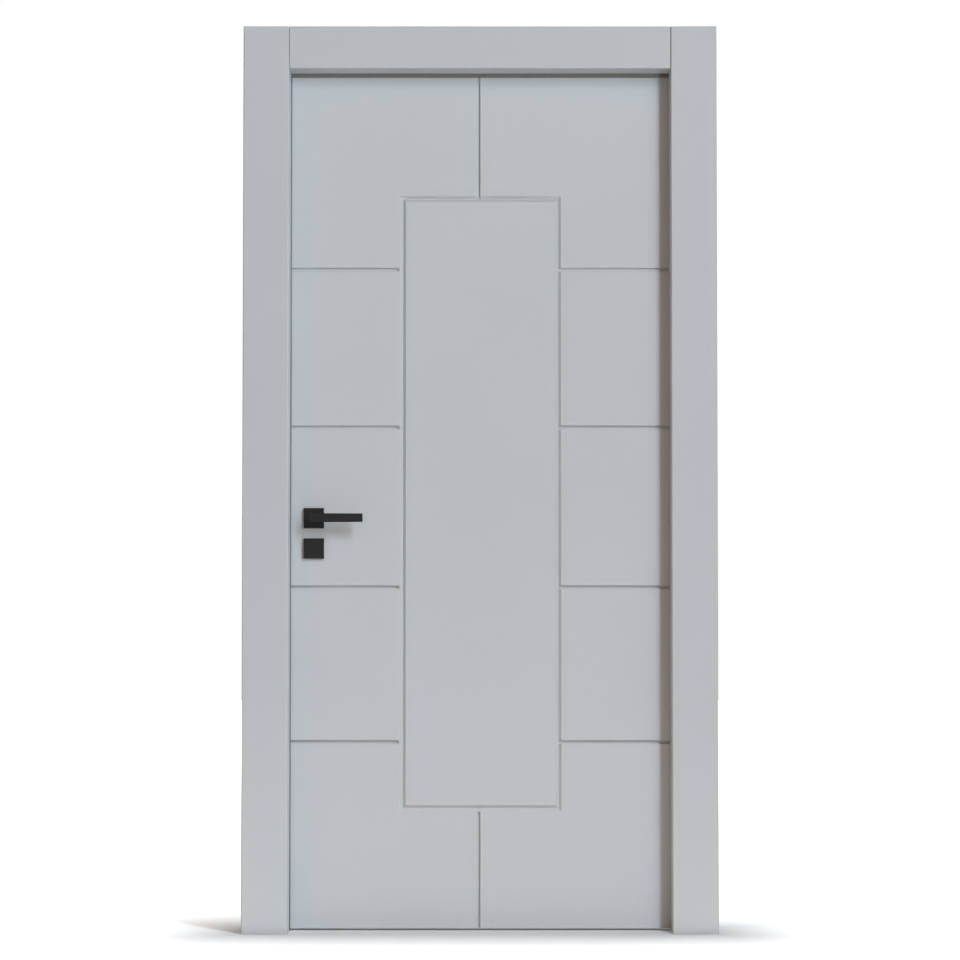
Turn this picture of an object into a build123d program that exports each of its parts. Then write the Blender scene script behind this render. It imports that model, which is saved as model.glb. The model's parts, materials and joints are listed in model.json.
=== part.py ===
from build123d import *
import os

# Interior door: a routed, lacquered leaf in a lined frame with casings on both sides of the wall,
# three butt hinges, a mortise lock and a lever set with square roses.
# Millimetres. X runs along the wall, Y through it with the front at -Y, Z up from the floor.
# The origin is on the wall face of the hinge jamb, at floor level, half way through the wall.

# Wall and leaf
wall_depth = 100.0
leaf_width = 900.0
leaf_height = 2000.0
leaf_thickness = 42.0
skin_thickness = 12.0
edge_gap = 5.0
floor_gap = 5.0

# Frame inside the leaf
hinge_stile_width = 60.0
latch_stile_width = 120.0
top_rail_height = 80.0
bottom_rail_height = 100.0

# Routed pattern of each face: a tall rectangle of V groove, and straight slots that run out to the edges.
# On the front the rectangle sits a little to the right, and the slots to the left of it and below it,
# so the slots on the right and at the top open into the groove and the others stop just short of it.
rectangle_width = 362.0
rectangle_height = 1419.5
rectangle_bottom = 282.0
rectangle_offset = 1.2
groove_width = 14.0
groove_depth = 6.5
groove_floor = 1.0
slot_width = 9.0
slot_depth = 6.5
slot_heights = (435.0, 794.0, 1166.5, 1535.5)
slot_offset = 5.0
slot_reach = 3.5

# Frame lining, stops and seals
jamb_thickness = 25.0
stop_overlap = 8.0
head_stop_overlap = 9.5
stop_gap = 5.0
seal_clearance = 0.4
latch_seal_lip = 2.5
head_seal_lip = 9.0
hinge_seal_setback = 0.5
seal_round = 0.8

# Casings
casing_thickness = 18.0
casing_width = 106.0
head_casing_height = 98.0
back_casing_setback = 12.0
casing_joint = 0.8
casing_round = 3.0

# Hinges
hinge_height = 100.0
hinge_bottom_offset = 180.0
hinge_top_offset = 160.0
hinge_count = 3
plate_thickness = 2.5
plate_depth = 30.0
knuckle_radius = 7.0
knuckle_count = 5
knuckle_gap = 0.3
hinge_axis_offset = 8.0
pin_radius = 3.5
pin_clearance = 0.05
pin_head_radius = 6.0
pin_head_height = 4.0

# Lock and strike plate
backset = 63.5
spindle_height = 955.0
key_distance = 70.5
faceplate_thickness = 3.0
faceplate_width = 16.0
faceplate_overrun = 30.0
case_depth = 85.0
case_thickness = 14.0
case_above_spindle = 60.0
case_below_spindle = 115.0
case_clearance = 0.5
bolt_clearance = 0.2
bolt_length = 25.0
latch_bolt_height = 18.0
latch_bolt_width = 11.0
latch_bolt_rise = 20.0
dead_bolt_height = 24.0
dead_bolt_width = 9.0
strike_thickness = 2.5
strike_width = 24.0
strike_overrun = 22.0
strike_window_margin = 2.0
strike_pocket_depth = 14.0

# Lever set
spindle_size = 8.0
spindle_clearance = 0.05
spindle_bore_radius = 7.0
spindle_engagement = 15.0
rose_size = 47.0
rose_thickness = 9.0
rose_round = 1.0
neck_radius = 9.0
neck_clearance = 0.1
neck_end_gap = 0.5
lever_length = 115.0
lever_heel = 10.0
lever_height = 20.0
lever_thickness = 10.0
lever_projection = 55.0
lever_round = 2.0

# Places worked out from the sizes above, measured outward from the centre line of the doorway
leaf_half = leaf_width / 2
jamb_inner = leaf_half + edge_gap
jamb_outer = jamb_inner + jamb_thickness
clear_half = leaf_half - stop_overlap
casing_outer = clear_half + casing_width
mid_x = -jamb_outer

# Places through the wall
wall_front = -wall_depth / 2
wall_back = wall_depth / 2
leaf_back = wall_back
leaf_front = leaf_back - leaf_thickness
leaf_mid = (leaf_front + leaf_back) / 2
core_front = leaf_front + skin_thickness
core_back = leaf_back - skin_thickness
stop_back = leaf_front - stop_gap

# Heights
leaf_bottom = floor_gap
leaf_top = leaf_bottom + leaf_height
head_under = leaf_top + edge_gap
head_top = head_under + jamb_thickness
clear_top = leaf_top - head_stop_overlap
casing_top = clear_top + head_casing_height

# Hinge axis
hinge_x = mid_x + (leaf_half + jamb_inner) / 2
hinge_y = leaf_back + hinge_axis_offset
hinge_first = leaf_bottom + hinge_bottom_offset
hinge_last = leaf_top - hinge_top_offset - hinge_height
hinge_names = ("bottom", "middle", "top")

# Lock places
latch_edge = mid_x - leaf_half
spindle_x = latch_edge + backset
key_height = spindle_height - key_distance
case_bottom = spindle_height - case_below_spindle
case_top = spindle_height + case_above_spindle
latch_bolt_z = spindle_height + latch_bolt_rise

HINGE_SIDE = 1
LATCH_SIDE = -1
FRONT = -1
BACK = 1

solids = {}


def block(x, y, z):
    """A block between two values on each axis, each given as a pair."""
    pairs = [tuple(sorted(pair)) for pair in (x, y, z)]
    size = [high - low for low, high in pairs]
    centre = [(high + low) / 2 for low, high in pairs]
    return Pos(*centre) * Box(*size)


def outward(side, near, far):
    """A range in X, measured from the centre line of the doorway towards one side."""
    return (mid_x + side * near, mid_x + side * far)


def around(middle, width):
    """A range of the given width about a middle value."""
    return (middle - width / 2, middle + width / 2)


def rod_y(x, z, y, radius):
    """A round rod along Y between two values."""
    low, high = sorted(y)
    return Pos(x, (low + high) / 2, z) * Rot(90, 0, 0) * Cylinder(radius, high - low)


def rod_z(x, y, z, radius):
    """A round rod along Z between two values."""
    low, high = sorted(z)
    return Pos(x, y, (low + high) / 2) * Cylinder(radius, high - low)


# Leaf faces

def face_plane(face):
    """The plane of a leaf face, looking into the leaf, with its second axis upwards."""
    y = leaf_front if face == FRONT else leaf_back
    return Plane(origin=(rectangle_x(face), y, 0), x_dir=(face, 0, 0), z_dir=(0, -face, 0))


def rectangle_x(face):
    """The middle of the rectangle in X, which is to the right as each face is looked at."""
    return mid_x - face * rectangle_offset


def rectangle_groove(face):
    """The V groove of the tall rectangle, as a ring with mitred corners and a narrow flat floor."""
    top = face_plane(face) * Pos(0, rectangle_bottom + rectangle_height / 2, 0)
    floor = top * Pos(0, 0, groove_depth)
    widths = ((groove_width, groove_floor), (-groove_width, -groove_floor))
    frusta = []
    for at_face, at_floor in widths:
        upper = top * Rectangle(rectangle_width + at_face, rectangle_height + at_face)
        lower = floor * Rectangle(rectangle_width + at_floor, rectangle_height + at_floor)
        frusta.append(loft([upper, lower], ruled=True))
    outer, inner = frusta
    return outer - inner


def straight_slots(face):
    """Slots from the rectangle out to the four edges, each with the round inner end of its cutter."""
    surface = leaf_front if face == FRONT else leaf_back
    depth = (surface, surface - face * slot_depth)
    half = slot_width / 2
    slot_mid = rectangle_x(face) + face * slot_offset
    cuts = []
    for side in (HINGE_SIDE, LATCH_SIDE):
        end = slot_mid + side * (rectangle_width / 2 + slot_reach + half)
        edge = mid_x + side * (leaf_half + slot_width)
        for height in slot_heights:
            cuts.append(block((end, edge), depth, around(height, slot_width)))
            cuts.append(rod_y(end, height, depth, half))
    rectangle_top = rectangle_bottom + rectangle_height
    runs = ((rectangle_bottom - slot_offset - slot_reach - half, leaf_bottom - slot_width),
            (rectangle_top - slot_offset + slot_reach + half, leaf_top + slot_width))
    for end, edge in runs:
        cuts.append(block(around(slot_mid, slot_width), depth, (end, edge)))
        cuts.append(rod_y(slot_mid, end, depth, half))
    return cuts


def hinge_mortises(x_face, x_depth):
    """The three shallow pockets that take the hinge plates on a vertical edge."""
    pockets = []
    for bottom in hinge_bottoms():
        y = (leaf_back - plate_depth, leaf_back)
        pockets.append(block((x_face, x_depth), y, (bottom, bottom + hinge_height)))
    return pockets


def hinge_bottoms():
    """The lower end of each hinge."""
    step = (hinge_last - hinge_first) / (hinge_count - 1)
    return [hinge_first + step * number for number in range(hinge_count)]


def make_skins():
    """The two routed faces of the leaf, bored for the spindle."""
    hinge_edge = mid_x + leaf_half
    for name, face, depth in (("front_skin", FRONT, (leaf_front, core_front)),
                              ("back_skin", BACK, (core_back, leaf_back))):
        skin = block((latch_edge, hinge_edge), depth, (leaf_bottom, leaf_top))
        skin -= rectangle_groove(face)
        skin -= straight_slots(face)
        skin -= rod_y(spindle_x, spindle_height, depth, spindle_bore_radius)
        if face == BACK:
            skin -= hinge_mortises(hinge_edge, hinge_edge - plate_thickness)
        solids[name] = skin


def make_leaf_frame():
    """Stiles and rails between the skins."""
    core = (core_front, core_back)
    hinge_edge = mid_x + leaf_half
    hinge_stile = block((hinge_edge - hinge_stile_width, hinge_edge), core, (leaf_bottom, leaf_top))
    solids["hinge_stile"] = hinge_stile - hinge_mortises(hinge_edge, hinge_edge - plate_thickness)
    latch_stile = block((latch_edge, latch_edge + latch_stile_width), core, (leaf_bottom, leaf_top))
    plate_back = latch_edge + faceplate_thickness
    latch_stile -= block((latch_edge, plate_back), around(leaf_mid, faceplate_width),
                         (case_bottom - faceplate_overrun, case_top + faceplate_overrun))
    latch_stile -= block((plate_back, plate_back + case_depth + case_clearance),
                         around(leaf_mid, case_thickness + 2 * case_clearance),
                         (case_bottom - case_clearance, case_top + case_clearance))
    latch_stile -= rod_y(spindle_x, spindle_height, core, spindle_bore_radius)
    solids["latch_stile"] = latch_stile
    rail_x = (latch_edge + latch_stile_width, hinge_edge - hinge_stile_width)
    solids["top_rail"] = block(rail_x, core, (leaf_top - top_rail_height, leaf_top))
    solids["bottom_rail"] = block(rail_x, core, (leaf_bottom, leaf_bottom + bottom_rail_height))


# Lock

def bolt_blocks(margin):
    """The latch bolt and the dead bolt, drawn back flush with the faceplate, grown by a margin."""
    x = (latch_edge, latch_edge + bolt_length)
    latch = block(x, around(leaf_mid, latch_bolt_width + 2 * margin),
                  around(latch_bolt_z, latch_bolt_height + 2 * margin))
    dead = block(x, around(leaf_mid, dead_bolt_width + 2 * margin),
                 around(key_height, dead_bolt_height + 2 * margin))
    return latch, dead


def make_lock():
    """Lock case, faceplate and the two bolts in the latch edge of the leaf."""
    plate_back = latch_edge + faceplate_thickness
    case = block((plate_back, plate_back + case_depth), around(leaf_mid, case_thickness),
                 (case_bottom, case_top))
    case -= bolt_blocks(bolt_clearance)
    case -= rod_y(spindle_x, spindle_height, around(leaf_mid, case_thickness), spindle_bore_radius)
    solids["lock_case"] = case
    plate = block((latch_edge, plate_back), around(leaf_mid, faceplate_width),
                  (case_bottom - faceplate_overrun, case_top + faceplate_overrun))
    solids["lock_faceplate"] = plate - bolt_blocks(bolt_clearance)
    solids["latch_bolt"], solids["dead_bolt"] = bolt_blocks(0)


def strike_windows(depth):
    """Openings for the two bolts, cut into the latch jamb side to a depth."""
    x = (mid_x - jamb_inner, mid_x - jamb_inner - depth)
    grow = 2 * strike_window_margin
    latch = block(x, around(leaf_mid, latch_bolt_width + grow),
                  around(latch_bolt_z, latch_bolt_height + grow))
    dead = block(x, around(leaf_mid, dead_bolt_width + grow),
                 around(key_height, dead_bolt_height + grow))
    return [latch, dead]


def strike_outline():
    """The strike plate before its windows are cut, which is also its pocket in the jamb."""
    x = (mid_x - jamb_inner, mid_x - jamb_inner - strike_thickness)
    low = key_height - dead_bolt_height / 2 - strike_overrun
    high = latch_bolt_z + latch_bolt_height / 2 + strike_overrun
    return block(x, around(leaf_mid, strike_width), (low, high))


# Frame

def make_lining():
    """Two jambs with the head between them."""
    depth = (wall_front, wall_back)
    hinge_face = mid_x + jamb_inner
    hinge_jamb = block(outward(HINGE_SIDE, jamb_inner, jamb_outer), depth, (0, head_top))
    solids["hinge_jamb"] = hinge_jamb - hinge_mortises(hinge_face, hinge_face + plate_thickness)
    latch_jamb = block(outward(LATCH_SIDE, jamb_inner, jamb_outer), depth, (0, head_top))
    latch_jamb -= strike_outline()
    latch_jamb -= strike_windows(strike_thickness + strike_pocket_depth)
    solids["latch_jamb"] = latch_jamb
    solids["head_jamb"] = block((mid_x - jamb_inner, mid_x + jamb_inner), depth, (head_under, head_top))
    solids["strike_plate"] = strike_outline() - strike_windows(strike_thickness)


def make_stops():
    """Stops that the leaf closes against, on three sides."""
    depth = (wall_front, stop_back)
    for name, side in (("hinge_stop", HINGE_SIDE), ("latch_stop", LATCH_SIDE)):
        solids[name] = block(outward(side, clear_half, jamb_inner), depth, (0, head_under))
    solids["head_stop"] = block((mid_x - clear_half, mid_x + clear_half), depth, (clear_top, head_under))


def make_seals():
    """Soft seals on the back of the stops, whose lips show at the latch side and the head."""
    depth = (stop_back, leaf_front - seal_clearance)
    hinge_lip = clear_half + hinge_seal_setback
    latch_lip = clear_half - latch_seal_lip
    head_lip = clear_top - head_seal_lip
    for name, side, lip in (("hinge_seal", HINGE_SIDE, hinge_lip), ("latch_seal", LATCH_SIDE, latch_lip)):
        seal = block(outward(side, lip, leaf_half), depth, (0, leaf_top))
        solids[name] = fillet(lip_edges(seal, Axis.Z, outward(side, lip, lip)[0], Axis.X), seal_round)
    head = block((mid_x - latch_lip, mid_x + hinge_lip), depth, (head_lip, leaf_top))
    solids["head_seal"] = fillet(lip_edges(head, Axis.X, head_lip, Axis.Z), seal_round)


def lip_edges(solid, along, value, across):
    """The edges of a strip that run along one axis at a value on another."""
    return solid.edges().filter_by(along).filter_by_position(across, value - seal_round, value + seal_round)


def face_edges(solid, y):
    """The long edges of a casing on the face that shows, at one place through the wall."""
    return solid.edges().filter_by_position(Axis.Y, y - casing_round / 2, y + casing_round / 2)


def make_casings():
    """Casings on both sides of the wall: full-height uprights with the head between them."""
    sides = (("front", wall_front, wall_front - casing_thickness, clear_half, clear_top),
             ("back", wall_back, wall_back + casing_thickness, jamb_inner + back_casing_setback,
              head_under + back_casing_setback))
    for place, seat, face, inner, under in sides:
        for name, side in (("hinge", HINGE_SIDE), ("latch", LATCH_SIDE)):
            upright = block(outward(side, inner, casing_outer), (seat, face), (0, casing_top))
            long_edges = face_edges(upright, face).filter_by(Axis.Z)
            solids[f"{place}_casing_{name}_side"] = fillet(long_edges, casing_round)
        half = inner - casing_joint
        head = block((mid_x - half, mid_x + half), (seat, face), (under, casing_top))
        solids[f"{place}_casing_head"] = fillet(face_edges(head, face).filter_by(Axis.X), casing_round)


# Hinges

def hinge_half(bottom, x, first_knuckle):
    """One plate of a butt hinge with its share of the knuckles, bored for the pin."""
    half = block(x, (leaf_back - plate_depth, leaf_back), (bottom, bottom + hinge_height))
    pitch = hinge_height / knuckle_count
    for number in range(first_knuckle, knuckle_count, 2):
        low = bottom + number * pitch
        z = (low + knuckle_gap / 2, low + pitch - knuckle_gap / 2)
        half += block(x, (leaf_back, hinge_y), z)
        half += rod_z(hinge_x, hinge_y, z, knuckle_radius)
    return half - rod_z(hinge_x, hinge_y, (bottom, bottom + hinge_height), pin_radius + pin_clearance)


def make_hinges():
    """Butt hinges: a plate on the jamb, a plate on the leaf and a headed pin."""
    jamb_face = mid_x + jamb_inner
    hinge_edge = mid_x + leaf_half
    for name, bottom in zip(hinge_names, hinge_bottoms()):
        top = bottom + hinge_height
        jamb_x = (jamb_face, jamb_face + plate_thickness)
        leaf_x = (hinge_edge - plate_thickness, hinge_edge)
        solids[f"{name}_hinge_jamb_plate"] = hinge_half(bottom, jamb_x, 0)
        solids[f"{name}_hinge_leaf_plate"] = hinge_half(bottom, leaf_x, 1)
        seat_low = bottom + knuckle_gap / 2
        seat_high = top - knuckle_gap / 2
        pin = rod_z(hinge_x, hinge_y, (seat_low, seat_high), pin_radius)
        pin += rod_z(hinge_x, hinge_y, (seat_high, seat_high + pin_head_height), pin_head_radius)
        pin += rod_z(hinge_x, hinge_y, (seat_low - pin_head_height, seat_low), pin_head_radius)
        solids[f"{name}_hinge_pin"] = pin


# Lever set

def square_plate(face, height):
    """A square plate on a leaf face, with its front edges eased."""
    surface = leaf_front if face == FRONT else leaf_back
    outer = surface + face * rose_thickness
    plate = block(around(spindle_x, rose_size), (surface, outer), around(height, rose_size))
    rim = plate.edges().filter_by_position(Axis.Y, outer - rose_round, outer + rose_round)
    rim -= rim.filter_by(Axis.Y)
    return fillet(rim, rose_round)


def lever(face):
    """A straight flat lever on a round neck, with a square socket for the spindle."""
    surface = leaf_front if face == FRONT else leaf_back
    outer = surface + face * lever_projection
    bar = block((spindle_x - lever_heel, spindle_x + lever_length),
                (outer - face * lever_thickness, outer), around(spindle_height, lever_height))
    bar = fillet(bar.edges(), lever_round)
    neck_start = surface + face * neck_end_gap
    neck = (neck_start, outer - face * lever_thickness / 2)
    handle = bar + rod_y(spindle_x, spindle_height, neck, neck_radius)
    socket = spindle_size + 2 * spindle_clearance
    return handle - block(around(spindle_x, socket), (neck_start, surface + face * spindle_engagement),
                          around(spindle_height, socket))


def make_lever_set():
    """Levers, spindle, roses and blank escutcheons on both faces."""
    for name, face in (("front", FRONT), ("back", BACK)):
        surface = leaf_front if face == FRONT else leaf_back
        solids[f"{name}_lever"] = lever(face)
        bore = rod_y(spindle_x, spindle_height, (surface, surface + face * rose_thickness),
                     neck_radius + neck_clearance)
        solids[f"{name}_rose"] = square_plate(face, spindle_height) - bore
        solids[f"{name}_escutcheon"] = square_plate(face, key_height)
    reach = (leaf_front - spindle_engagement, leaf_back + spindle_engagement)
    solids["spindle"] = block(around(spindle_x, spindle_size), reach, around(spindle_height, spindle_size))


make_lining()
make_stops()
make_seals()
make_casings()
make_skins()
make_leaf_frame()
make_lock()
make_hinges()
make_lever_set()

os.makedirs("parts", exist_ok=True)
for name, solid in solids.items():
    export_step(solid, f"parts/{name}.step")
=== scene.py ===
import json
import math

import bmesh
import bpy
from mathutils import Matrix, Vector


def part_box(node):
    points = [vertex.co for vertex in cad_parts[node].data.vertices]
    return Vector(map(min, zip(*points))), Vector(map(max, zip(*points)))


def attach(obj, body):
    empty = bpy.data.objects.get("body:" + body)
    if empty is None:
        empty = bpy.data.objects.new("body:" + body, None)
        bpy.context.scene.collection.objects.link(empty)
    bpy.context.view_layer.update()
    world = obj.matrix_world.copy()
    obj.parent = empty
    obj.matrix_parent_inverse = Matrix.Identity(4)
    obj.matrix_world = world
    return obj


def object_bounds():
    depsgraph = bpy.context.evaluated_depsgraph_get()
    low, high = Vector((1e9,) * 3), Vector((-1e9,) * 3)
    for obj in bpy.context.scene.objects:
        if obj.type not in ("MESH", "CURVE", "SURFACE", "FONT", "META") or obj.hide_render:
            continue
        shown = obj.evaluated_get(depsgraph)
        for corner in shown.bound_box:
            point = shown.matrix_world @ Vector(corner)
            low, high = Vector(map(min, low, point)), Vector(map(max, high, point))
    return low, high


# Looks of an interior door: satin grey lacquer on the leaf and its frame, matt black lever set and hinges,
# zinc-plated bolts, soft seals and the small screws that hold the hardware.
# Metres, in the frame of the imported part.

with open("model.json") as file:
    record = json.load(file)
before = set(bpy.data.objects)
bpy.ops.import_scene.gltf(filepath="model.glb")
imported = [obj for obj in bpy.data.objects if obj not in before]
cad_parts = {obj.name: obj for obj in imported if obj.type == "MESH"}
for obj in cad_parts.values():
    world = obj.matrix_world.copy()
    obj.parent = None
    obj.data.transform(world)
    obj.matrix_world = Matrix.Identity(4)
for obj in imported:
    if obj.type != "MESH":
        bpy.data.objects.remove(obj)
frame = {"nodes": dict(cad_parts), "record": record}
cad_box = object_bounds()
nodes = frame["nodes"]
middle_x = (cad_box[0][0] + cad_box[1][0]) / 2

# Colours, as linear values
LEAF_LACQUER = (0.472, 0.497, 0.511)
FRAME_LACQUER = (0.474, 0.503, 0.521)
BLACK = (0.0086, 0.0075, 0.0078)
RUBBER = (0.165, 0.146, 0.130)
ZINC = (0.60, 0.59, 0.56)
FLOOR = (0.62, 0.62, 0.62)
WHITE = (1.0, 1.0, 1.0)

# Noise mostly lies between these two values
NOISE_LOW = 0.3
NOISE_HIGH = 0.7

# Cosine of the turn between the rounded and the true normal at which an edge counts in full
EDGE_COSINE = 0.85

# Camera
CAMERA_AT = (-0.480, -6.791, 0.790)
CAMERA_PITCH = math.radians(2.14)
CAMERA_LENS = 109.5
SENSOR_WIDTH = 36.0

# Light: a narrow upright soft box at the upper right with a wider, weaker one beside it, both tilted up so
# that their light fades a little towards the floor, a warm card on the floor that makes up for it,
# and soft light from all round, warm and strongest in front, plain behind.
# Each lamp is a name, its left and right edge, and its level.
LAMP_FRONT = 2.60
LAMP_HEIGHTS = (0.62, 3.45)
LAMP_TILT = math.radians(14)
LAMPS = (("key", 0.66, 0.94, 0.572), ("wing", 0.94, 1.50, 0.150))
LAMP_COLOUR = (0.725, 0.886, 1.0)
CARD_WIDTH = 2.40
CARD_REACH = (0.08, 1.40)
CARD_HEIGHT = 0.005
CARD_LEVEL = 0.45
CARD_COLOUR = (0.97, 0.89, 0.81)
AMBIENT_FRONT = (0.665, 0.39, 0.225)
AMBIENT_SIDE = (0.15, 0.095, 0.06)
AMBIENT_BACK = (0.95, 0.96, 0.97)

# Where the soft light changes, from 0 straight in front to 1 straight behind
FRONT_END = 0.10
SIDE_START = 0.28
SIDE_END = 0.50
BACK_START = 0.62

# Floor. Where it is seen, its glow is weak at the door's feet, which paints a soft shade around them, and
# rises to full over the given reach
FLOOR_REACH = 14.0
FLOOR_DROP = 0.0003
FLOOR_GLOW_IN_PAINTED_SHADE = 0.065
FLOOR_GLOW_FAR = 0.80
PAINTED_SHADE_REACH = 0.30

# Eased edges
WELD_DISTANCE = 0.00001
FLAT_ANGLE = math.radians(0.5)
SHARP_ANGLE = math.radians(30)
EASE_SEGMENTS = 2
WOOD_EASE = 0.0005
METAL_EASE = 0.0004

# Screw heads. The profiles give, ring by ring, a share of the radius, of the head or of its cross recess,
# and a height.
SCREW_RADIUS = 0.0042
SCREW_POINTS = 24
SCREW_TURN = 0.7
HEAD_PROFILE = ((1.0, -0.0004), (1.0, 0.00012), (0.93, 0.00040), (0.72, 0.00074))
CROSS_REACH = 0.0022
CROSS_HALF_WIDTH = CROSS_REACH * math.tan(math.radians(15))
CROSS_PROFILE = ((1.0, 0.00090), (0.72, 0.00016))
CROSS_MIDDLE = 0.00010
SMALL_ANGLE = 1e-6

# Places of the screws. Each lock plate is a node, its body, how far its screws are from its ends,
# and the way it faces.
HINGE_SCREWS = 4
HINGE_SCREW_DEPTHS = (0.020, 0.011)
LOCK_PLATES = (("lock_faceplate", "leaf", 0.010, -1), ("strike_plate", "frame", 0.009, 1))


# Node helpers

def add_node(tree, kind, **values):
    """A new shader node, with inputs set by name, an underscore standing for a space."""
    node = tree.nodes.new(kind)
    for name, value in values.items():
        node.inputs[name.replace("_", " ")].default_value = value
    return node


def new_material(name):
    """A material with its node tree and its main shader."""
    material = bpy.data.materials.new(name)
    material.use_nodes = True
    tree = material.node_tree
    return material, tree, tree.nodes["Principled BSDF"]


def noise(tree, scale, detail, stretch=(1, 1, 1)):
    """Noise in the object's own coordinates, stretched along its axes where asked."""
    place = add_node(tree, "ShaderNodeTexCoord")
    shape = add_node(tree, "ShaderNodeMapping", Scale=stretch)
    texture = add_node(tree, "ShaderNodeTexNoise", Scale=scale, Detail=detail)
    tree.links.new(place.outputs["Object"], shape.inputs["Vector"])
    tree.links.new(shape.outputs["Vector"], texture.inputs["Vector"])
    return texture.outputs["Fac"]


def spread(tree, value, low, high):
    """Noise spread between two values."""
    node = add_node(tree, "ShaderNodeMapRange", From_Min=NOISE_LOW, From_Max=NOISE_HIGH,
                    To_Min=low, To_Max=high)
    tree.links.new(value, node.inputs["Value"])
    return node.outputs["Result"]


def total(tree, first, second):
    """The sum of two values."""
    node = add_node(tree, "ShaderNodeMath")
    tree.links.new(first, node.inputs[0])
    tree.links.new(second, node.inputs[1])
    return node.outputs["Value"]


def shade(colour, amount=1.0):
    """A colour made lighter or darker where asked, as a value with alpha."""
    return tuple(channel * amount for channel in colour) + (1.0,)


def ramp(tree, value, low, high):
    """A blend from one colour to another as a value goes from 0 to 1."""
    node = add_node(tree, "ShaderNodeValToRGB")
    node.color_ramp.elements[0].color = low
    node.color_ramp.elements[1].color = high
    tree.links.new(value, node.inputs["Fac"])
    return node.outputs["Color"]


def edges(tree, radius):
    """A mask of the sharp edges, from how far a rounded normal turns from the true one."""
    rounded = add_node(tree, "ShaderNodeBevel", Radius=radius)
    surface = add_node(tree, "ShaderNodeNewGeometry")
    dot = add_node(tree, "ShaderNodeVectorMath")
    dot.operation = "DOT_PRODUCT"
    tree.links.new(rounded.outputs["Normal"], dot.inputs[0])
    tree.links.new(surface.outputs["True Normal"], dot.inputs[1])
    mask = add_node(tree, "ShaderNodeMapRange", From_Min=1.0, From_Max=EDGE_COSINE, To_Min=0.0, To_Max=1.0)
    tree.links.new(dot.outputs["Value"], mask.inputs["Value"])
    return mask.outputs["Result"]


def mixed(tree, factor, first, second):
    """One colour laid over another by a mask."""
    node = add_node(tree, "ShaderNodeMix")
    node.data_type = "RGBA"
    tree.links.new(factor, node.inputs["Factor"])
    tree.links.new(first, node.inputs[6])
    node.inputs[7].default_value = second
    return node.outputs[2]


def bump(tree, shader, height, distance, strength):
    """Small relief of a surface."""
    node = add_node(tree, "ShaderNodeBump", Distance=distance, Strength=strength)
    tree.links.new(height, node.inputs["Height"])
    tree.links.new(node.outputs["Normal"], shader.inputs["Normal"])


# Materials

def lacquer(name, colour):
    """Sprayed satin lacquer: faint clouding, the fine ripple of a sprayed coat, thinner on the edges."""
    material, tree, shader = new_material(name)
    clouds = spread(tree, noise(tree, scale=2.6, detail=3), low=0.10, high=0.60)
    grain = spread(tree, noise(tree, scale=520, detail=2), low=0.0, high=0.30)
    coat = ramp(tree, total(tree, clouds, grain), low=shade(colour, 0.975), high=shade(colour, 1.025))
    thin = edges(tree, radius=0.0012)
    gloss = spread(tree, noise(tree, scale=38, detail=4), low=0.50, high=0.58)
    tree.links.new(mixed(tree, thin, coat, shade(colour, 1.05)), shader.inputs["Base Color"])
    tree.links.new(gloss, shader.inputs["Roughness"])
    shader.inputs["Specular IOR Level"].default_value = 0.30
    bump(tree, shader, noise(tree, scale=360, detail=2), distance=0.00005, strength=0.35)
    return material


def powder_coat(name, colour):
    """Matt black powder coat: a fine pebbled skin, rubbed a little brighter on its edges."""
    material, tree, shader = new_material(name)
    specks = spread(tree, noise(tree, scale=1500, detail=3), low=0.0, high=1.0)
    skin = ramp(tree, specks, low=shade(colour, 0.88), high=shade(colour, 1.14))
    rubbed = edges(tree, radius=0.0009)
    gloss = spread(tree, noise(tree, scale=120, detail=3), low=0.46, high=0.58)
    tree.links.new(mixed(tree, rubbed, skin, shade(colour, 2.2)), shader.inputs["Base Color"])
    tree.links.new(gloss, shader.inputs["Roughness"])
    shader.inputs["Specular IOR Level"].default_value = 0.20
    bump(tree, shader, noise(tree, scale=1700, detail=2), distance=0.00004, strength=0.5)
    return material


def soft_seal(name, colour):
    """Extruded rubber: matt, with fine lines along its length."""
    material, tree, shader = new_material(name)
    lines = noise(tree, scale=900, detail=3, stretch=(1, 1, 0.02))
    skin = ramp(tree, lines, low=shade(colour, 0.75), high=shade(colour, 1.25))
    gloss = spread(tree, noise(tree, scale=70, detail=3), low=0.68, high=0.82)
    tree.links.new(skin, shader.inputs["Base Color"])
    tree.links.new(gloss, shader.inputs["Roughness"])
    bump(tree, shader, lines, distance=0.00006, strength=0.4)
    return material


def zinc(name, colour):
    """Zinc-plated steel with faint grinding lines."""
    material, tree, shader = new_material(name)
    lines = noise(tree, scale=1400, detail=3, stretch=(1, 1, 0.03))
    skin = ramp(tree, lines, low=shade(colour, 0.82), high=shade(colour, 1.12))
    gloss = spread(tree, noise(tree, scale=90, detail=4), low=0.30, high=0.46)
    tree.links.new(skin, shader.inputs["Base Color"])
    tree.links.new(gloss, shader.inputs["Roughness"])
    shader.inputs["Metallic"].default_value = 1.0
    bump(tree, shader, lines, distance=0.00002, strength=0.4)
    return material


FINISHES = {
    "leaf_lacquer": lacquer("leaf_lacquer", LEAF_LACQUER),
    "frame_lacquer": lacquer("frame_lacquer", FRAME_LACQUER),
    "seal": soft_seal("seal", RUBBER),
    "black": powder_coat("black", BLACK),
    "steel": zinc("steel", ZINC),
}
EASES = {"leaf_lacquer": WOOD_EASE, "frame_lacquer": WOOD_EASE, "black": METAL_EASE, "steel": METAL_EASE}


# CAD nodes

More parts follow.
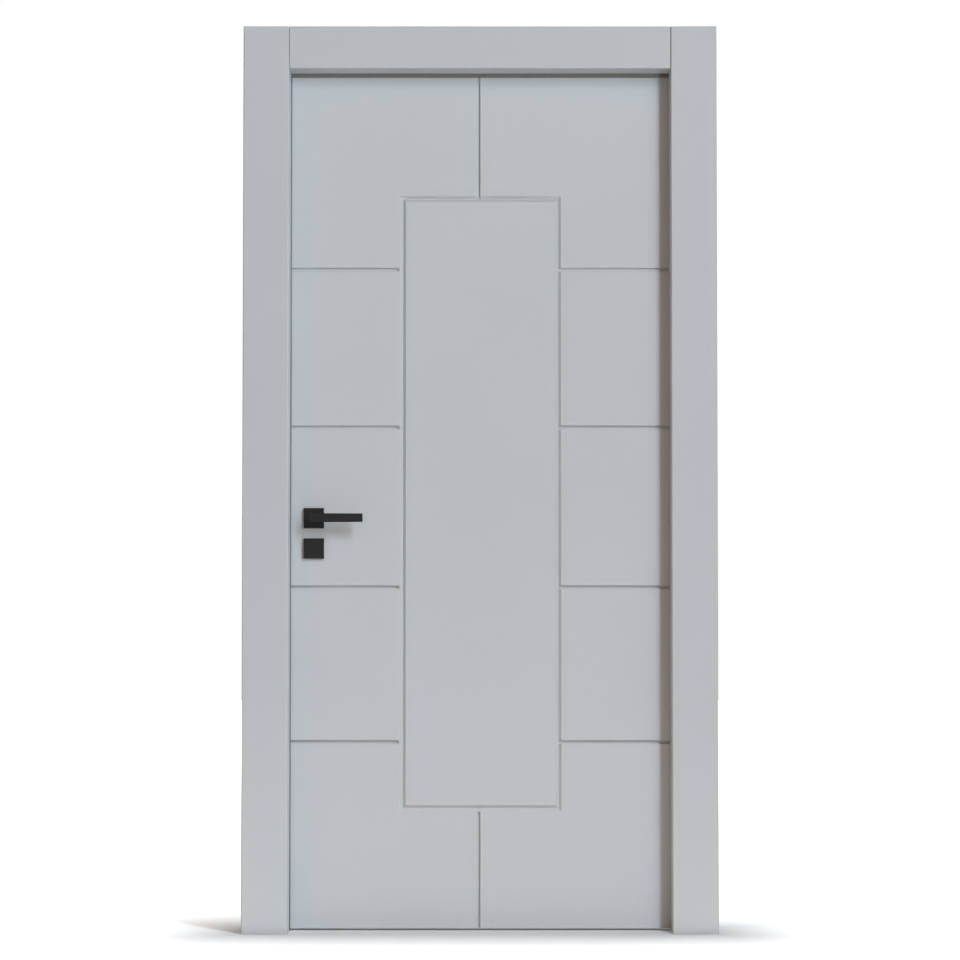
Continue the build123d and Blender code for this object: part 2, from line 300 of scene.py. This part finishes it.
def ease_edges(obj, width):
    """Softens sharp edges: doubled corners are joined, flat faces merged, then a small bevel is laid on."""
    weld = obj.modifiers.new("join_corners", "WELD")
    weld.merge_threshold = WELD_DISTANCE
    flat = obj.modifiers.new("merge_flats", "DECIMATE")
    flat.decimate_type = "DISSOLVE"
    flat.angle_limit = FLAT_ANGLE
    bevel = obj.modifiers.new("ease_edges", "BEVEL")
    bevel.width = width
    bevel.segments = EASE_SEGMENTS
    bevel.limit_method = "ANGLE"
    bevel.angle_limit = SHARP_ANGLE


def dress_nodes():
    """Each CAD node gets the finish that the record names, and eased edges where it is hard."""
    for part in frame["record"]["subparts"]:
        obj = nodes[part["node"]]
        slot = part["material_slot"]
        obj.material_slots[0].material = FINISHES[slot]
        if slot in EASES:
            ease_edges(obj, EASES[slot])


# Screws

def cross_radius(angle):
    """Distance from a screw's middle to the outline of its cross recess, in one direction."""
    quarter = math.pi / 2
    turn = abs((angle + quarter / 2) % quarter - quarter / 2)
    reach = CROSS_REACH / math.cos(turn)
    if turn < SMALL_ANGLE:
        return reach
    return min(reach, CROSS_HALF_WIDTH / math.sin(turn))


def add_screw(bm, at, axis, turn):
    """A raised screw head with a cross recess, its seat on a surface at a point, facing along an axis."""
    frame_of_head = Matrix.Translation(at) @ Vector(axis).to_track_quat("Z", "Y").to_matrix().to_4x4()
    frame_of_head = frame_of_head @ Matrix.Rotation(turn, 4, "Z")
    angles = [2 * math.pi * number / SCREW_POINTS for number in range(SCREW_POINTS)]
    shape = []
    for share, height in HEAD_PROFILE:
        shape.append([(SCREW_RADIUS * share, height) for angle in angles])
    for share, height in CROSS_PROFILE:
        shape.append([(cross_radius(angle) * share, height) for angle in angles])
    rings = []
    for ring in shape:
        points = []
        for angle, (radius, height) in zip(angles, ring):
            local = Vector((radius * math.cos(angle), radius * math.sin(angle), height))
            points.append(bm.verts.new(frame_of_head @ local))
        rings.append(points)
    for lower, upper in zip(rings, rings[1:]):
        for number in range(SCREW_POINTS):
            after = (number + 1) % SCREW_POINTS
            bm.faces.new((lower[number], lower[after], upper[after], upper[number]))
    middle = bm.verts.new(frame_of_head @ Vector((0, 0, CROSS_MIDDLE)))
    for number in range(SCREW_POINTS):
        after = (number + 1) % SCREW_POINTS
        bm.faces.new((rings[-1][number], rings[-1][after], middle))
    bm.faces.new(list(reversed(rings[0])))


def screw_set(name, body, places, axis):
    """Screws of one kind as one piece, all facing the same way, each turned differently."""
    bm = bmesh.new()
    for number, at in enumerate(places):
        add_screw(bm, Vector(at), axis, SCREW_TURN * number)
    mesh = bpy.data.meshes.new(name)
    bm.to_mesh(mesh)
    bm.free()
    mesh.materials.append(FINISHES["black"])
    obj = bpy.data.objects.new(name, mesh)
    bpy.context.collection.objects.link(obj)
    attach(obj, body)


def hinge_screws():
    """Evenly spaced screws in each hinge plate, set in two staggered rows."""
    faces = {"jamb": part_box("hinge_jamb")[0].x, "leaf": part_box("front_skin")[1].x}
    for name in ("bottom", "middle", "top"):
        for side, body, direction in (("jamb", "frame", -1), ("leaf", "leaf", 1)):
            low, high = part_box(f"{name}_hinge_{side}_plate")
            places = []
            for number in range(HINGE_SCREWS):
                height = low.z + (high.z - low.z) * (number + 0.5) / HINGE_SCREWS
                depth = low.y + HINGE_SCREW_DEPTHS[number % 2]
                places.append((faces[side], depth, height))
            screw_set(f"{name}_hinge_{side}_screws", body, places, (direction, 0, 0))


def lock_screws():
    """One screw near each end of the lock's faceplate and of the strike plate."""
    for node, body, inset, direction in LOCK_PLATES:
        low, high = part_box(node)
        face = low.x if direction < 0 else high.x
        middle = (low.y + high.y) / 2
        places = [(face, middle, low.z + inset), (face, middle, high.z - inset)]
        screw_set(f"{node}_screws", body, places, (direction, 0, 0))


# Stage

def seen_directly(tree):
    """1 for rays from the camera and for mirrored and transmitted rays, 0 for the light on the object."""
    path = add_node(tree, "ShaderNodeLightPath")
    result = path.outputs["Is Camera Ray"]
    for other in ("Is Glossy Ray", "Is Transmission Ray"):
        larger = add_node(tree, "ShaderNodeMath")
        larger.operation = "MAXIMUM"
        tree.links.new(result, larger.inputs[0])
        tree.links.new(path.outputs[other], larger.inputs[1])
        result = larger.outputs["Value"]
    return result


def make_world():
    """Soft light from all round, warm in front and plain behind, seen as plain white."""
    world = bpy.data.worlds.new("studio")
    bpy.context.scene.world = world
    world.use_nodes = True
    tree = world.node_tree
    tree.nodes.clear()
    direction = add_node(tree, "ShaderNodeTexCoord")
    parts = add_node(tree, "ShaderNodeSeparateXYZ")
    turn = add_node(tree, "ShaderNodeMapRange", From_Min=-1.0, From_Max=1.0)
    tree.links.new(direction.outputs["Generated"], parts.inputs["Vector"])
    tree.links.new(parts.outputs["Y"], turn.inputs["Value"])
    ambient = add_node(tree, "ShaderNodeBackground", Strength=1.0)
    around = add_node(tree, "ShaderNodeValToRGB")
    elements = around.color_ramp.elements
    ready = len(elements)
    stops = ((FRONT_END, AMBIENT_FRONT), (SIDE_START, AMBIENT_SIDE),
             (SIDE_END, AMBIENT_SIDE), (BACK_START, AMBIENT_BACK))
    for number, (position, colour) in enumerate(stops):
        stop = elements[number] if number < ready else elements.new(position)
        stop.position = position
        stop.color = shade(colour)
    tree.links.new(turn.outputs["Result"], around.inputs["Fac"])
    tree.links.new(around.outputs["Color"], ambient.inputs["Color"])
    white = add_node(tree, "ShaderNodeBackground", Color=shade(WHITE), Strength=1.0)
    choice = add_node(tree, "ShaderNodeMixShader")
    output = add_node(tree, "ShaderNodeOutputWorld")
    tree.links.new(seen_directly(tree), choice.inputs["Fac"])
    tree.links.new(ambient.outputs["Background"], choice.inputs[1])
    tree.links.new(white.outputs["Background"], choice.inputs[2])
    tree.links.new(choice.outputs["Shader"], output.inputs["Surface"])


def distance_from_feet(tree):
    """How far a point of the floor lies outside the rectangle that the door stands on."""
    half = (cad_box[1][0] - cad_box[0][0]) / 2, -cad_box[0][1], 0.0
    steps = (("ABSOLUTE", None), ("SUBTRACT", half), ("MAXIMUM", (0.0, 0.0, 0.0)), ("LENGTH", None))
    place = add_node(tree, "ShaderNodeTexCoord").outputs["Object"]
    for operation, value in steps:
        step = add_node(tree, "ShaderNodeVectorMath")
        step.operation = operation
        tree.links.new(place, step.inputs[0])
        if value:
            step.inputs[1].default_value = value
        place = step.outputs["Value" if operation == "LENGTH" else "Vector"]
    return place


def floor_material():
    """Pale floor that keeps shadows, lifted to white where it is looked at; the lift is weaker beside the
    door, which paints a soft shade around its feet.
    """
    material, tree, shader = new_material("studio_floor")
    tree.nodes.remove(shader)
    plain = add_node(tree, "ShaderNodeBsdfDiffuse", Color=shade(FLOOR))
    glow = add_node(tree, "ShaderNodeEmission", Color=shade(WHITE))
    # Painted shade: the glow is low at the door's feet and rises with distance from them
    glow_with_painted_shade = add_node(tree, "ShaderNodeMapRange", From_Max=PAINTED_SHADE_REACH, To_Min=FLOOR_GLOW_IN_PAINTED_SHADE,
                    To_Max=FLOOR_GLOW_FAR)
    tree.links.new(distance_from_feet(tree), glow_with_painted_shade.inputs["Value"])
    tree.links.new(glow_with_painted_shade.outputs["Result"], glow.inputs["Strength"])
    lifted = add_node(tree, "ShaderNodeAddShader")
    choice = add_node(tree, "ShaderNodeMixShader")
    tree.links.new(plain.outputs["BSDF"], lifted.inputs[0])
    tree.links.new(glow.outputs["Emission"], lifted.inputs[1])
    tree.links.new(seen_directly(tree), choice.inputs["Fac"])
    tree.links.new(plain.outputs["BSDF"], choice.inputs[1])
    tree.links.new(lifted.outputs["Shader"], choice.inputs[2])
    tree.links.new(choice.outputs["Shader"], tree.nodes["Material Output"].inputs["Surface"])
    return material


def make_floor():
    """A floor just under the feet of the frame, whose material paints a soft shade around them."""
    bm = bmesh.new()
    bmesh.ops.create_grid(bm, x_segments=1, y_segments=1, size=FLOOR_REACH)
    mesh = bpy.data.meshes.new("studio_floor")
    bm.to_mesh(mesh)
    bm.free()
    mesh.materials.append(floor_material())
    floor = bpy.data.objects.new("studio_floor", mesh)
    floor.location = (middle_x, 0.0, cad_box[0][2] - FLOOR_DROP)
    bpy.context.collection.objects.link(floor)


def soft_box(name, width, length, energy, colour):
    """A rectangular lamp, itself unseen."""
    data = bpy.data.lights.new(name, "AREA")
    data.shape = "RECTANGLE"
    data.size = width
    data.size_y = length
    data.energy = energy
    data.color = colour
    lamp = bpy.data.objects.new(name, data)
    lamp.visible_camera = False
    bpy.context.collection.objects.link(lamp)
    return lamp


def make_lamp(name, left, right, level):
    """An upright lamp that faces the wall, tilted up. Two falloff steps cancel its fading with distance and
    with slant, so that its light on the wall's plane is even from side to side and, because of the tilt,
    fades steadily from the top to the floor. The level is the light at the height of the lamp's middle."""
    low, high = LAMP_HEIGHTS
    energy = level * (math.pi / LAMP_FRONT) ** 2 / math.cos(LAMP_TILT)
    lamp = soft_box(name, right - left, high - low, energy, LAMP_COLOUR)
    lamp.location = ((left + right) / 2, -LAMP_FRONT, (low + high) / 2)
    lamp.rotation_euler = (math.pi / 2 + LAMP_TILT, 0, 0)
    lamp.data.use_nodes = True
    tree = lamp.data.node_tree
    distance = add_node(tree, "ShaderNodeLightFalloff", Strength=1.0)
    slant = add_node(tree, "ShaderNodeLightFalloff")
    tree.links.new(distance.outputs["Constant"], slant.inputs["Strength"])
    tree.links.new(slant.outputs["Constant"], tree.nodes["Emission"].inputs["Strength"])


def make_card():
    """A warm card that lies on the floor before the door and shines up."""
    near, far = CARD_REACH
    energy = CARD_LEVEL * math.pi * CARD_WIDTH * (far - near)
    card = soft_box("card", CARD_WIDTH, far - near, energy, CARD_COLOUR)
    card.location = (middle_x, -(near + far) / 2, CARD_HEIGHT)
    card.rotation_euler = (math.pi, 0, 0)


def make_camera():
    """The photograph's view: straight on, from below the lever, tilted up a little."""
    data = bpy.data.cameras.new("camera")
    data.lens = CAMERA_LENS
    data.sensor_width = SENSOR_WIDTH
    camera = bpy.data.objects.new("camera", data)
    camera.location = CAMERA_AT
    camera.rotation_euler = (math.pi / 2 + CAMERA_PITCH, 0, 0)
    bpy.context.collection.objects.link(camera)
    bpy.context.scene.camera = camera


dress_nodes()
hinge_screws()
lock_screws()
make_world()
make_floor()
for lamp_sizes in LAMPS:
    make_lamp(*lamp_sizes)
make_card()
make_camera()
bpy.context.scene.view_settings.view_transform = "Standard"
